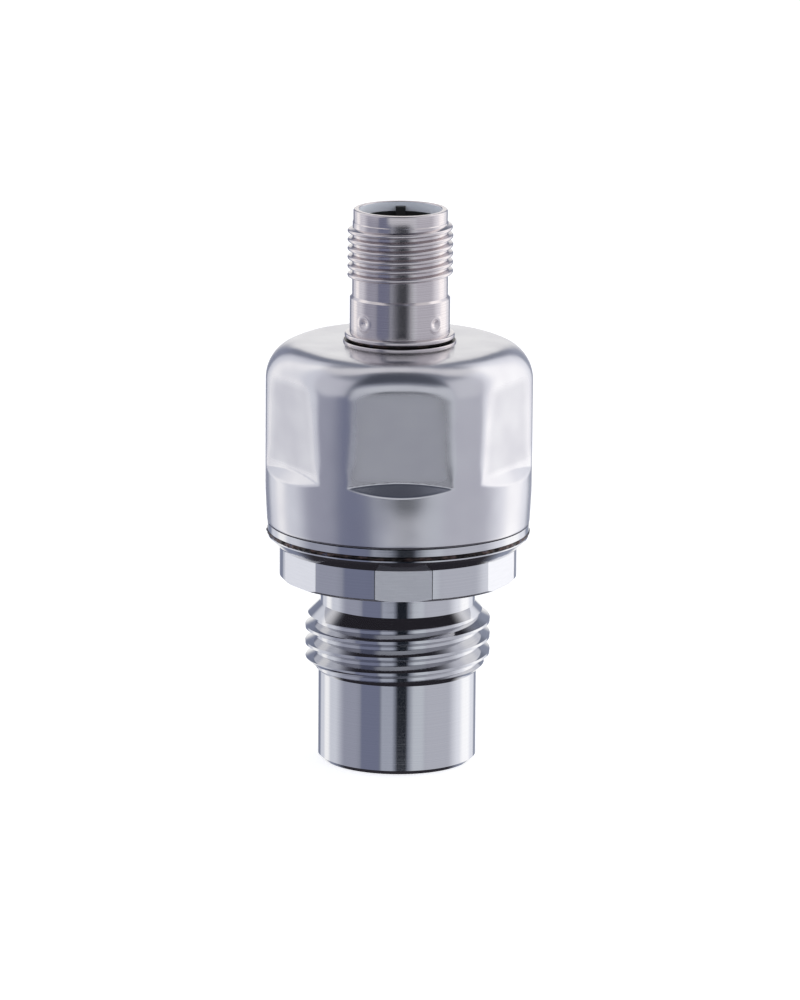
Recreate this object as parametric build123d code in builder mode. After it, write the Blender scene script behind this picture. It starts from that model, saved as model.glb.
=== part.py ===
from build123d import *
from math import radians, sqrt, tan
import os

# Flush pressure transmitter: a stainless can with six pressed facets, a G 1/2 process connection whose
# front face is the diaphragm, and an M12 plug connector with four pins. Millimetres, +Z up along the axis.
# The origin is the centre of the front face. The front of the instrument looks along -Y.

os.makedirs("parts", exist_ok=True)

# A reach is how far a surface stands out beyond the one before it, and a step how far it stands back

# Process connection, from the front face up. The tip and the neck are stepped back from the thread's root
thread_major = 20.9
thread_depth = 1.135
thread_pitch = 1.814
thread_flank_angle = 27.5
thread_height = 7.8
thread_lead = 0.53
tip_step = 0.365
tip_height = 10.3
tip_edge = 0.5
tip_wall = 1.25
neck_step = 0.565
neck_height = 2.95
hexagon_across_flats = 26.0
hexagon_corner_reach = 0.4
hexagon_height = 3.6
hexagon_turn = 2.8
hexagon_edge = 0.3
flange_reach = 1.3
flange_height = 1.65
flange_under_flat = 0.05
weld_groove_depth = 0.25
weld_groove_height = 0.5
spigot_step = 2.35
spigot_height = 1.5
spigot_wall = 1.85
rim_bore_depth = 2.6
rim_cone_height = 2.9
front_wall = 2.5

# Flush front: diaphragm over its oil chamber
front_rim = 1.75
diaphragm_thickness = 0.1
diaphragm_setback = 0.15
diaphragm_land = 0.7
diaphragm_waves = 3
wave_height = 0.12
chamber_depth = 0.3
oil_passage_diameter = 1.6

# Sensor header and what it carries
header_clearance = 0.1
header_height = 5.0
header_wall = 1.5
header_recess_depth = 2.2
pin_circle_diameter = 8.2
pin_places = 8
pin_diameter = 0.5
pin_front_stub = 1.4
pin_above_board = 0.9
glass_diameter = 1.4
filler_clearance = 0.1
filler_height = 1.8
filler_window = 5.0
filler_hole_diameter = 0.9
pedestal_side = 3.2
pedestal_height = 1.1
chip_side = 3.0
chip_height = 0.4
chip_hollow_side = 1.5
chip_hollow_depth = 0.36
chip_hollow_taper = 30
fill_hole_diameter = 0.8
fill_seat_diameter = 1.5
fill_seat_depth = 1.6
ball_clearance = 0.02
backing_ring_height = 2.5
backing_ring_width = 2.0
spanner_slot_width = 1.2
spanner_slot_depth = 1.0

# Base ring, can and their seal
base_ring_bore_clearance = 0.05
lip_reach = 0.05
lip_height = 1.05
base_ring_spigot_height = 4.0
ring_to_can_clearance = 0.05
seal_groove_width = 1.5
seal_groove_depth = 0.8
seal_groove_start = 1.2
seal_side_gap = 0.15
seal_corner = 0.3
can_reach = 0.25
can_wall = 0.6
can_height = 20.4
can_edge = 0.25
shoulder_radius = 4.0
facet_count = 6
facet_turn = 1.0
facet_depth = 1.2
facet_bottom = 7.35
facet_ledge_angle = 45.0
facet_inner_radius = 1.0
facet_outer_radius = 1.4
can_hole_clearance = 0.05

# Connector sleeve, from the can up. Each reach and step here is taken from the thread's crest
connector_thread_diameter = 11.9
connector_thread_height = 6.25
foot_reach = 0.4
foot_height = 0.7
foot_round = 0.35
foot_fillet = 0.3
sleeve_step = 0.32
sleeve_height = 5.3
step_chamfer = 0.25
upper_neck_step = 0.575
upper_neck_height = 2.15
lead_in_step = 0.67
lead_in_height = 1.35
lead_in_wall = 0.73
mouth_edge = 0.25
sleeve_spigot_wall = 0.6
sleeve_spigot_length = 1.0
dimple_count = 4
dimple_diameter = 0.9
dimple_height = 3.0
dimple_depth = 0.2
crimp_depth = 0.3
crimp_width = 0.9

# Contact carrier and pins
carrier_clearance = 0.05
carrier_gap = 0.6
socket_depth = 9.0
collar_setback = 1.05
collar_wall = 0.25
key_setback = 0.5
key_width = 1.1
key_reach = 0.6
crimp_groove_width = 1.4
crimp_groove_depth = 0.4
carrier_seal_height = 2.9
carrier_seal_groove_width = 1.4
carrier_seal_groove_depth = 0.85
contact_count = 4
contact_circle_diameter = 5.0
contact_diameter = 1.0
contact_setback = 1.7
contact_tip_radius = 0.35
contact_collar_diameter = 1.5
contact_collar_height = 2.0
contact_collar_cover = 3.0
contact_tail_diameter = 0.8
contact_tail_stub = 0.5
contact_hole_clearance = 0.03

# Boards and their holder
board_thickness = 1.0
board_edge_gap = 0.05
sensor_board_clearance = 0.7
main_board_width = 18.0
main_board_corner = 1.0
connector_board_diameter = 12.0
holder_clearance = 0.3
holder_base_height = 1.2
holder_window_width = 10.0
holder_window_depth = 9.0
post_width = 2.6
post_depth = 3.6
post_drop = 3.6
post_grip = 1.0
ribbon_width = 4.0
ribbon_thickness = 0.15
ribbon_offset = 3.3
ribbon_foot = 1.1
ribbon_bend_radius = 0.6
ribbon_pad_height = 2.2
ribbon_pad_lift = 1.0
ribbon_lean_height = 5.8
spring_space = 2.7
spring_width = 2.0
spring_thickness = 0.2
spring_start = 3.6
spring_foot = 1.8
spring_run = 2.4
spring_toe = 1.2
spring_bend_radius = 0.4

# Parts soldered on the boards: length, width, height
soldered_edge = 0.1
conditioner_size = (4.0, 4.0, 0.9)
sensor_capacitor_size = (0.8, 1.6, 0.8)
sensor_capacitor_inset = 1.2
sensor_capacitor_count = 4
output_chip_size = (3.9, 4.9, 1.5)
output_chip_standoff = 0.1
output_chip_lead = (1.05, 0.4, 0.2)
output_chip_lead_count = 4
output_chip_lead_pitch = 1.27
regulator_size = (4.5, 2.5, 1.5)
board_capacitor_size = (2.0, 1.25, 1.25)
surge_diode_size = (4.3, 3.6, 2.2)
board_resistor_size = (1.6, 0.8, 0.5)

# Their places on the main board: in from its nearer side edge or across from its middle, and up from its
# bottom edge or down from its top
output_chip_inset = 4.8
output_chip_up = 8.0
regulator_inset = 4.8
regulator_up = 5.0
capacitor_insets = (2.2, 4.5, 6.8)
capacitor_rows = (8.4, 10.8)
surge_diode_inset = 5.8
surge_diode_drop = 4.1
resistor_offsets = (1.5, 4.5)
resistor_rows = (3.0, 5.5)

# Heights of the stack, worked out from the sizes above
thread_top = tip_height + thread_height
hexagon_bottom = thread_top + neck_height
hexagon_top = hexagon_bottom + hexagon_height
flange_top = hexagon_top + flange_height
lip_top = flange_top + lip_height
can_top = lip_top + can_height
sleeve_top = can_top + sleeve_height
neck_top = sleeve_top + upper_neck_height + step_chamfer
connector_thread_top = neck_top + connector_thread_height
mouth = connector_thread_top + lead_in_height
chamber_floor = diaphragm_setback + diaphragm_thickness + chamber_depth
header_top = front_wall + header_height
recess_floor = front_wall + header_recess_depth
backing_ring_top = header_top + backing_ring_height
sensor_board_top = backing_ring_top + board_thickness
spigot_top = flange_top + spigot_height
holder_base_top = spigot_top + holder_base_height
connector_board_top = can_top - can_wall - spring_space
main_board_top = connector_board_top - board_thickness
main_board_height = main_board_top - holder_base_top
carrier_bottom = connector_board_top + carrier_gap
insert_face = mouth - socket_depth

# Radii, worked out from the sizes above
crest = thread_major / 2
root = crest - thread_depth
tip = root - tip_step
neck = root - neck_step
sensor_bore = tip - tip_wall
diaphragm = tip - front_rim
hexagon = hexagon_across_flats / 2 + hexagon_corner_reach
flange = hexagon + flange_reach
spigot = flange - spigot_step
rim_bore = spigot - spigot_wall
lip = flange + lip_reach
can = lip + can_reach
facet_distance = can - facet_depth
connector_crest = connector_thread_diameter / 2
foot = connector_crest + foot_reach
sleeve = connector_crest - sleeve_step
upper_neck = connector_crest - upper_neck_step
lead_in = connector_crest - lead_in_step
sleeve_bore = lead_in - lead_in_wall
sleeve_spigot = sleeve_bore + sleeve_spigot_wall
carrier = sleeve_bore - carrier_clearance


def turned(outline, *corners):
    """One turned piece: a half section in the XZ plane, with (radius, height) corners, spun round Z.

    corners holds (radius, height, size, operation) for those that are rounded or bevelled.
    """
    with BuildPart() as piece:
        with BuildSketch(Plane.XZ) as section:
            with BuildLine():
                Polyline(*outline, close=True)
            make_face()
            for radius, height, size, operation in corners:
                corner = section.vertices().sort_by_distance((radius, height))[0]
                operation(corner, size)
        revolve(axis=Axis.Z)
    return piece.part


def thread_turn(root, depth, pitch, flank_angle, start):
    """One turn of the V groove that a right-handed thread leaves between its crests."""
    slope = tan(radians(flank_angle))
    flat = (pitch - 2 * depth * slope) / 2
    outside = 0.05
    half_mouth = flat / 2 + (depth + outside) * slope
    with BuildPart() as turn:
        with BuildLine() as path:
            Helix(pitch=pitch, height=pitch, radius=root, center=(0, 0, start))
        with BuildSketch(Plane(origin=path.line @ 0, x_dir=(1, 0, 0), z_dir=path.line % 0)):
            with BuildLine():
                Polyline(
                    (0, -flat / 2),
                    (depth + outside, -half_mouth),
                    (depth + outside, half_mouth),
                    (0, flat / 2),
                    close=True,
                )
            make_face()
        sweep(is_frenet=True)
    return turn.part


def wavy_disc(radius, rim, waves, height, thickness, level):
    """A thin membrane with ring-shaped waves between its middle and its flat rim."""
    pitch = (radius - rim) / (waves + 0.5)
    line = [(0, level)]
    for wave in range(waves):
        start = (wave + 0.5) * pitch
        line += [(start, level), (start + pitch / 2, level + height)]
    line += [((waves + 0.5) * pitch, level)]
    with BuildPart() as disc:
        with BuildSketch(Plane.XZ):
            with BuildLine():
                Spline(*line, tangents=((1, 0), (1, 0)))
                Line((radius - rim, level), (radius, level))
                Line((radius, level), (radius, level + thickness))
                Line((radius, level + thickness), (radius - rim, level + thickness))
                Spline(*[(x, z + thickness) for x, z in reversed(line)], tangents=((-1, 0), (-1, 0)))
                Line((0, level + thickness), (0, level))
            make_face()
        revolve(axis=Axis.Z)
    return disc.part


# Process connection
thread_bevel = crest - tip
rim_bore_floor = flange_top - rim_bore_depth
chamber = diaphragm - diaphragm_land
body_blank = turned(
    [
        (oil_passage_diameter / 2, chamber_floor),
        (chamber, chamber_floor),
        (chamber, diaphragm_setback + diaphragm_thickness),
        (diaphragm, diaphragm_setback + diaphragm_thickness),
        (diaphragm, 0),
        (tip, 0),
        (tip, tip_height),
        (crest, tip_height + thread_bevel),
        (crest, thread_top - crest + neck),
        (neck, thread_top),
        (neck, hexagon_bottom),
        (hexagon, hexagon_bottom),
        (hexagon, hexagon_top),
        (flange, hexagon_top),
        (flange, flange_top - weld_groove_height / 2),
        (flange - weld_groove_depth, flange_top),
        (spigot, flange_top),
        (spigot, spigot_top),
        (rim_bore, spigot_top),
        (rim_bore, rim_bore_floor),
        (sensor_bore, rim_bore_floor - rim_cone_height),
        (sensor_bore, front_wall),
        (oil_passage_diameter / 2, front_wall),
    ],
    (tip, 0, tip_edge, chamfer),
    (hexagon, hexagon_bottom, hexagon_edge, chamfer),
    (flange, hexagon_top, flange_reach - flange_under_flat, chamfer),
)
groove_start = tip_height - thread_lead
groove_turn = thread_turn(root, thread_depth, thread_pitch, thread_flank_angle, groove_start)
with BuildPart() as process_connection:
    add(body_blank)
    for turn in range(int((thread_top - groove_start) / thread_pitch) + 1):
        with Locations((0, 0, turn * thread_pitch)):
            add(groove_turn, mode=Mode.SUBTRACT)
    with PolarLocations(0, 6, hexagon_turn - 90):
        with Locations((hexagon_across_flats / 2, 0, hexagon_bottom)):
            Box(
                hexagon,
                hexagon_across_flats,
                hexagon_height,
                align=(Align.MIN, Align.CENTER, Align.MIN),
                mode=Mode.SUBTRACT,
            )
process_connection.part.label = "process_connection"
export_step(process_connection.part, "parts/process_connection.step")

# Diaphragm, welded into the front face
membrane = wavy_disc(
    diaphragm, diaphragm_land, diaphragm_waves, wave_height, diaphragm_thickness, diaphragm_setback
)
membrane.label = "diaphragm"
export_step(membrane, "parts/diaphragm.step")

# Sensor header: a steel cup with its pins sealed in glass. One place on the pin circle is for filling the oil
header = sensor_bore - header_clearance
header_recess = header - header_wall
pin_circle = pin_circle_diameter / 2
pin_step = 360 / pin_places
fill_angle = -pin_step / 2


def pin_spots():
    """The places of the header's pins, all but the one that the filling hole takes."""
    return PolarLocations(pin_circle, pin_places - 1, pin_step / 2, (pin_places - 2) * pin_step, endpoint=True)


def fill_spot():
    """The place of the oil filling hole on the pin circle."""
    return PolarLocations(pin_circle, 1, fill_angle)


def rod_group(radius, bottom, top, spots, bore=0):
    """The same round rod, or tube where it has a bore, at each of the given spots."""
    with BuildPart() as group:
        with BuildSketch(Plane.XY.offset(bottom)):
            with spots():
                Circle(radius)
                if bore:
                    Circle(bore, mode=Mode.SUBTRACT)
        extrude(amount=top - bottom)
    return group.part


fill_seat_floor = header_top - fill_seat_depth
with BuildPart() as sensor_header:
    with BuildSketch(Plane.XY.offset(front_wall)):
        Circle(header)
    extrude(amount=header_height)
    with BuildSketch(Plane.XY.offset(front_wall)):
        Circle(header_recess)
    extrude(amount=header_recess_depth, mode=Mode.SUBTRACT)
    add(rod_group(glass_diameter / 2, recess_floor, header_top, pin_spots), mode=Mode.SUBTRACT)
    add(rod_group(fill_hole_diameter / 2, recess_floor, header_top, fill_spot), mode=Mode.SUBTRACT)
    add(rod_group(fill_seat_diameter / 2, fill_seat_floor, header_top, fill_spot), mode=Mode.SUBTRACT)
sensor_header.part.label = "sensor_header"
export_step(sensor_header.part, "parts/sensor_header.step")

glass_seals = rod_group(glass_diameter / 2, recess_floor, header_top, pin_spots, pin_diameter / 2)
glass_seals.label = "glass_seals"
export_step(glass_seals, "parts/glass_seals.step")

header_pins = rod_group(
    pin_diameter / 2, recess_floor - pin_front_stub, sensor_board_top + pin_above_board, pin_spots
)
header_pins.label = "header_pins"
export_step(header_pins, "parts/header_pins.step")

# Ball in the filling hole, resting on the edge of the narrower hole below it
ball = fill_seat_diameter / 2 - ball_clearance
ball_height = fill_seat_floor + sqrt(ball**2 - (fill_hole_diameter / 2) ** 2)
with BuildPart() as fill_ball:
    with PolarLocations(pin_circle, 1, fill_angle):
        with Locations((0, 0, ball_height)):
            Sphere(ball)
fill_ball.part.label = "fill_ball"
export_step(fill_ball.part, "parts/fill_ball.step")

# Ceramic disc in the header's recess, with a window for the chip and a hole at each pin
with BuildPart() as filler_disc:
    with BuildSketch(Plane.XY.offset(recess_floor - filler_height)):
        Circle(header_recess - filler_clearance)
        Rectangle(filler_window, filler_window, mode=Mode.SUBTRACT)
        with PolarLocations(pin_circle, pin_places, pin_step / 2):
            Circle(filler_hole_diameter / 2, mode=Mode.SUBTRACT)
    extrude(amount=filler_height)
filler_disc.part.label = "filler_disc"
export_step(filler_disc.part, "parts/filler_disc.step")

# Glass pedestal on the recess floor, and the silicon pressure chip with its etched hollow on it
pedestal_front = recess_floor - pedestal_height
with BuildPart() as chip_pedestal:
    with BuildSketch(Plane.XY.offset(pedestal_front)):
        Rectangle(pedestal_side, pedestal_side)
    extrude(amount=pedestal_height)
chip_pedestal.part.label = "chip_pedestal"
export_step(chip_pedestal.part, "parts/chip_pedestal.step")

with BuildPart() as sensor_chip:
    with BuildSketch(Plane.XY.offset(pedestal_front)):
        Rectangle(chip_side, chip_side)
    extrude(amount=-chip_height)
    with BuildSketch(Plane.XY.offset(pedestal_front)):
        Rectangle(chip_hollow_side, chip_hollow_side)
    extrude(amount=-chip_hollow_depth, taper=chip_hollow_taper, mode=Mode.SUBTRACT)
sensor_chip.part.label = "sensor_chip"
export_step(sensor_chip.part, "parts/sensor_chip.step")

# Backing ring, with two slots for the spanner that screws it down on the header
with BuildPart() as backing_ring:
    with BuildSketch(Plane.XY.offset(header_top)):
        Circle(header)
        Circle(header - backing_ring_width, mode=Mode.SUBTRACT)
    extrude(amount=backing_ring_height)
    with BuildSketch(Plane.XY.offset(backing_ring_top)):
        Rectangle(spanner_slot_width, 2 * sensor_bore)
    extrude(amount=-spanner_slot_depth, mode=Mode.SUBTRACT)
backing_ring.part.label = "backing_ring"
export_step(backing_ring.part, "parts/backing_ring.step")

# Base ring: its lip shows under the can, and its spigot locates the can and carries the seal
ring_bore = spigot + base_ring_bore_clearance
ring_spigot = can - can_wall - ring_to_can_clearance
ring_top = lip_top + base_ring_spigot_height
groove_bottom = lip_top + seal_groove_start
groove_top = groove_bottom + seal_groove_width
groove_floor = ring_spigot - seal_groove_depth
base_ring = turned(
    [
        (ring_bore, flange_top),
        (lip - weld_groove_depth, flange_top),
        (lip, flange_top + weld_groove_height / 2),
        (lip, lip_top),
        (ring_spigot, lip_top),
        (ring_spigot, groove_bottom),
        (groove_floor, groove_bottom),
        (groove_floor, groove_top),
        (ring_spigot, groove_top),
        (ring_spigot, ring_top),
        (ring_bore, ring_top),
    ]
)
base_ring.label = "base_ring"
export_step(base_ring, "parts/base_ring.step")


def squeezed_ring(inner, outer, bottom, top):
    """A rubber ring as it lies in its groove, pressed flat against the groove floor and the wall outside."""
    corners = [(inner, bottom), (outer, bottom), (outer, top), (inner, top)]
    return turned(corners, *[(radius, height, seal_corner, chamfer) for radius, height in corners])


housing_o_ring = squeezed_ring(
    groove_floor, can - can_wall, groove_bottom + seal_side_gap, groove_top - seal_side_gap
)
housing_o_ring.label = "housing_o_ring"
export_step(housing_o_ring, "parts/housing_o_ring.step")


# Can: drawn to a cup, then pressed into six flat facets that start from a ledge
def facet_pocket(inset):
    """What one facet takes off the can's skin at the given depth below its outer face."""
    distance = facet_distance - inset
    ledge = radians(facet_ledge_angle)
    low = lip_top + facet_bottom - inset * tan(ledge / 2)
    reach = can - facet_distance + can_wall
    with BuildPart() as pocket:
        with BuildSketch(Plane.XZ) as section:
            with BuildLine():
                Polyline(
                    (distance + reach, low - reach / tan(ledge)),
                    (distance, low),
                    (distance, can_top),
                    (distance + reach, can_top),
                    close=True,
                )
            make_face()
            fillet(section.vertices().sort_by_distance((distance, low))[0], facet_inner_radius + inset)
        extrude(amount=can, both=True)
    return pocket.part


def can_form(inset):
    """The can as a full solid, with its skin at the given depth below the outer face."""
    cup = turned(
        [(0, lip_top), (can - inset, lip_top), (can - inset, can_top - inset), (0, can_top - inset)],
        (can - inset, can_top - inset, shoulder_radius - inset, fillet),
    )
    skin = cup.shell()
    pocket = facet_pocket(inset)
    with BuildPart() as solid:
        add(cup)
        with PolarLocations(0, facet_count, facet_turn - 90):
            add(pocket, mode=Mode.SUBTRACT)
        new_edges = solid.edges(Select.LAST).filter_by(GeomType.CIRCLE, reverse=True)
        rims = [edge for edge in new_edges if skin.distance_to(edge @ 0.5) < can_wall / 100]
        fillet(rims, facet_outer_radius - inset)
    return solid.part


with BuildPart() as housing_can:
    add(can_form(0))
    chamfer(housing_can.edges().group_by(Axis.Z)[0], can_edge)
    add(can_form(can_wall), mode=Mode.SUBTRACT)
    with BuildSketch(Plane.XY.offset(can_top)):
        Circle(sleeve_spigot + can_hole_clearance)
    extrude(amount=-2 * can_wall, mode=Mode.SUBTRACT)
housing_can.part.label = "housing_can"
export_step(housing_can.part, "parts/housing_can.step")

# Connector sleeve, turned in one piece. Its fine thread is at its outside diameter here
foot_top = can_top + foot_height
dimple_level = can_top + dimple_height
sleeve_blank = turned(
    [
        (sleeve_bore, can_top - sleeve_spigot_length),
        (sleeve_spigot, can_top - sleeve_spigot_length),
        (sleeve_spigot, can_top),
        (foot, can_top),
        (foot, foot_top),
        (sleeve, foot_top),
        (sleeve, sleeve_top),
        (upper_neck, sleeve_top + step_chamfer),
        (upper_neck, neck_top),
        (connector_crest, neck_top + connector_crest - upper_neck),
        (connector_crest, connector_thread_top - connector_crest + lead_in),
        (lead_in, connector_thread_top),
        (lead_in, mouth),
        (sleeve_bore, mouth),
    ],
    (foot, foot_top, foot_round, fillet),
    (sleeve, foot_top, foot_fillet, fillet),
    (lead_in, mouth, mouth_edge, chamfer),
    (sleeve_bore, mouth, mouth_edge, chamfer),
)


def cap_radius(width, depth):
    """The radius of the ball whose cap has the given width and depth."""
    return ((width / 2) ** 2 + depth**2) / (2 * depth)


dimple = cap_radius(dimple_diameter, dimple_depth)
crimp = cap_radius(crimp_width, crimp_depth)
with BuildPart() as connector_sleeve:
    add(sleeve_blank)
    with PolarLocations(0, dimple_count, 180 / dimple_count):
        with Locations((sleeve + dimple - dimple_depth, 0, dimple_level)):
            Sphere(dimple, mode=Mode.SUBTRACT)
        with Locations((sleeve_bore + crimp - crimp_depth, 0, dimple_level)):
            Sphere(crimp)
connector_sleeve.part.label = "connector_sleeve"
export_step(connector_sleeve.part, "parts/connector_sleeve.step")

# Contact carrier: a plastic plug with a collar that lines the sleeve, and the coding key inside the collar
carrier_groove = carrier_bottom + carrier_seal_height
carrier_groove_floor = carrier - carrier_seal_groove_depth
carrier_blank = turned(
    [
        (0, carrier_bottom),
        (carrier, carrier_bottom),
        (carrier, carrier_groove),
        (carrier_groove_floor, carrier_groove),
        (carrier_groove_floor, carrier_groove + carrier_seal_groove_width),
        (carrier, carrier_groove + carrier_seal_groove_width),
        (carrier, dimple_level - crimp_groove_width / 2),
        (carrier - crimp_groove_depth, dimple_level - crimp_groove_width / 2),
        (carrier - crimp_groove_depth, dimple_level + crimp_groove_width / 2),
        (carrier, dimple_level + crimp_groove_width / 2),
        (carrier, mouth - collar_setback),
        (carrier - collar_wall, mouth - collar_setback),
        (carrier - collar_wall, insert_face),
        (0, insert_face),
    ]
)

# Contact pin: its collar is moulded into the carrier, and its tail goes through the connector board
contact = contact_diameter / 2
contact_top = mouth - contact_setback
contact_collar_top = insert_face - contact_collar_cover
contact_collar_bottom = contact_collar_top - contact_collar_height


def contact_form(grow, top, bottom, tip_round):
    """The contact pin, or with grow the hole that it leaves in the carrier."""
    tip_corner = [(contact + grow, top, tip_round, fillet)] if tip_round else []
    return turned(
        [
            (0, bottom),
            (contact_tail_diameter / 2 + grow, bottom),
            (contact_tail_diameter / 2 + grow, contact_collar_bottom),
            (contact_collar_diameter / 2 + grow, contact_collar_bottom),
            (contact_collar_diameter / 2 + grow, contact_collar_top),
            (contact + grow, contact_collar_top),
            (contact + grow, top),
            (0, top),
        ],
        *tip_corner,
    )


contact_step = 360 / contact_count
contact_pin = contact_form(0, contact_top, main_board_top - contact_tail_stub, contact_tip_radius)
contact_hole = contact_form(contact_hole_clearance, insert_face, carrier_bottom, 0)
with BuildPart() as contact_carrier:
    add(carrier_blank)
    with PolarLocations(contact_circle_diameter / 2, contact_count, contact_step / 2):
        add(contact_hole, mode=Mode.SUBTRACT)
    with BuildSketch(Plane.XY.offset(insert_face)):
        Circle(carrier)
        with Locations((0, carrier - collar_wall - key_reach)):
            Rectangle(key_width, carrier, align=(Align.CENTER, Align.MIN), mode=Mode.INTERSECT)
    extrude(amount=socket_depth - key_setback)
contact_carrier.part.label = "contact_carrier"
export_step(contact_carrier.part, "parts/contact_carrier.step")

for number in range(contact_count):
    with BuildPart() as pin:
        with PolarLocations(contact_circle_diameter / 2, 1, (number + 0.5) * contact_step):
            add(contact_pin)
    pin.part.label = f"contact_pin_{number + 1}"
    export_step(pin.part, f"parts/{pin.part.label}.step")

carrier_o_ring = squeezed_ring(
    carrier_groove_floor,
    sleeve_bore,
    carrier_groove + seal_side_gap,
    carrier_groove + carrier_seal_groove_width - seal_side_gap,
)
carrier_o_ring.label = "carrier_o_ring"
export_step(carrier_o_ring, "parts/carrier_o_ring.step")

# Sensor board, on the backing ring and soldered to the header's pins
sensor_board_radius = sensor_bore - sensor_board_clearance
with BuildPart() as sensor_board:
    with BuildSketch(Plane.XY.offset(backing_ring_top)):
        Circle(sensor_board_radius)
        with pin_spots():
            Circle(pin_diameter / 2 + board_edge_gap, mode=Mode.SUBTRACT)
    extrude(amount=board_thickness)
sensor_board.part.label = "sensor_board"
export_step(sensor_board.part, "parts/sensor_board.step")

# Board holder: a moulded disc on the spigot of the process connection, with a grooved post at each board edge
board_side = main_board_width / 2
post_place = board_side - post_grip + post_width / 2
with BuildPart() as board_holder:
    with BuildSketch(Plane.XY.offset(spigot_top)):
        Circle(ring_bore - holder_clearance)
        Rectangle(holder_window_width, holder_window_depth, mode=Mode.SUBTRACT)
    extrude(amount=holder_base_height)
    with BuildSketch(Plane.XY.offset(holder_base_top)):
        with Locations((post_place, 0), (-post_place, 0)):
            Rectangle(post_width, post_depth)
        Rectangle(
            main_board_width + 2 * board_edge_gap, board_thickness + 2 * board_edge_gap, mode=Mode.SUBTRACT
        )
    extrude(amount=main_board_height - post_drop)
board_holder.part.label = "board_holder"
export_step(board_holder.part, "parts/board_holder.step")

# Main board, upright in the holder, with the round connector board soldered across its top edge
with BuildPart() as main_board:
    with BuildSketch(Plane.XZ):
        with Locations((0, holder_base_top)):
            Rectangle(main_board_width, main_board_height, align=(Align.CENTER, Align.MIN))
    extrude(amount=board_thickness / 2, both=True)
    chamfer(main_board.edges().filter_by(Axis.Y).group_by(Axis.Z)[-1], main_board_corner)
main_board.part.label = "main_board"
export_step(main_board.part, "parts/main_board.step")

with BuildPart() as connector_board:
    with BuildSketch(Plane.XY.offset(main_board_top)):
        Circle(connector_board_diameter / 2)
        with PolarLocations(contact_circle_diameter / 2, contact_count, contact_step / 2):
            Circle(contact_tail_diameter / 2 + board_edge_gap, mode=Mode.SUBTRACT)
    extrude(amount=board_thickness)
connector_board.part.label = "connector_board"
export_step(connector_board.part, "parts/connector_board.step")


def bent_strip(width, thickness, plane, bend, *points):
    """A flat strip bent along a route in the given plane, with the strip's width across that plane."""
    with BuildPart() as strip:
        with BuildLine(plane) as route:
            FilletPolyline(*points, radius=bend)
        start = Plane(origin=route.line @ 0, x_dir=plane.z_dir, z_dir=route.line % 0)
        with BuildSketch(start):
            Rectangle(width, thickness)
        sweep()
    return strip.part


# Flat flexible cable from the sensor board, up through the holder's window to the front of the main board
ribbon_low = sensor_board_top + ribbon_thickness / 2
ribbon_pad_bottom = holder_base_top + ribbon_pad_lift
ribbon_on_board = -(board_thickness + ribbon_thickness) / 2
sensor_ribbon = bent_strip(
    ribbon_width,
    ribbon_thickness,
    Plane.YZ,
    ribbon_bend_radius,
    (-ribbon_offset + ribbon_foot, ribbon_low),
    (-ribbon_offset, ribbon_low),
    (-ribbon_offset, ribbon_pad_bottom - ribbon_lean_height),
    (ribbon_on_board, ribbon_pad_bottom),
    (ribbon_on_board, ribbon_pad_bottom + ribbon_pad_height),
)
sensor_ribbon.label = "sensor_ribbon"
export_step(sensor_ribbon, "parts/sensor_ribbon.step")

# Earthing spring, soldered on the connector board and pressed up against the inside of the can's top
spring_low = connector_board_top + spring_thickness / 2
spring_high = can_top - can_wall - spring_thickness / 2
ground_spring = bent_strip(
    spring_width,
    spring_thickness,
    Plane.XZ,
    spring_bend_radius,
    (spring_start, spring_low),
    (spring_start + spring_foot, spring_low),
    (spring_start + spring_foot + spring_run, spring_high),
    (spring_start + spring_foot + spring_run + spring_toe, spring_high),
)
ground_spring.label = "ground_spring"
export_step(ground_spring, "parts/ground_spring.step")


def soldered(name, face, spots, size):
    """Plain soldered components of one kind, standing on a board's face at the given spots."""
    with BuildPart(face) as group:
        with Locations(*spots):
            Box(*size, align=(Align.CENTER, Align.CENTER, Align.MIN))
        tops = group.faces().sort_by(Axis(face.origin, face.z_dir))[-len(spots):]
        chamfer(tops.edges(), soldered_edge)
    group.part.label = name
    export_step(group.part, f"parts/{name}.step")


sensor_face = Plane.XY.offset(sensor_board_top)
board_front = Plane(origin=(0, -board_thickness / 2, holder_base_top), x_dir=(1, 0, 0), z_dir=(0, -1, 0))
board_back = Plane(origin=(0, board_thickness / 2, holder_base_top), x_dir=(-1, 0, 0), z_dir=(0, 1, 0))
soldered("conditioner_chip", sensor_face, [(0, 0)], conditioner_size)
capacitor_circle = sensor_board_radius - sensor_capacitor_inset
soldered(
    "sensor_capacitors",
    sensor_face,
    list(PolarLocations(capacitor_circle, sensor_capacitor_count, 180 / sensor_capacitor_count)),
    sensor_capacitor_size,
)
soldered("regulator_chip", board_front, [(board_side - regulator_inset, regulator_up)], regulator_size)
soldered(
    "board_capacitors",
    board_front,
    [(board_side - inset, up) for inset in capacitor_insets for up in capacitor_rows],
    board_capacitor_size,
)
diode_side = board_side - surge_diode_inset
diode_up = main_board_height - surge_diode_drop
soldered("surge_diodes", board_back, [(-diode_side, diode_up), (diode_side, diode_up)], surge_diode_size)
soldered(
    "board_resistors",
    board_back,
    [(side * offset, up) for side in (-1, 1) for offset in resistor_offsets for up in resistor_rows],
    board_resistor_size,
)

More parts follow.
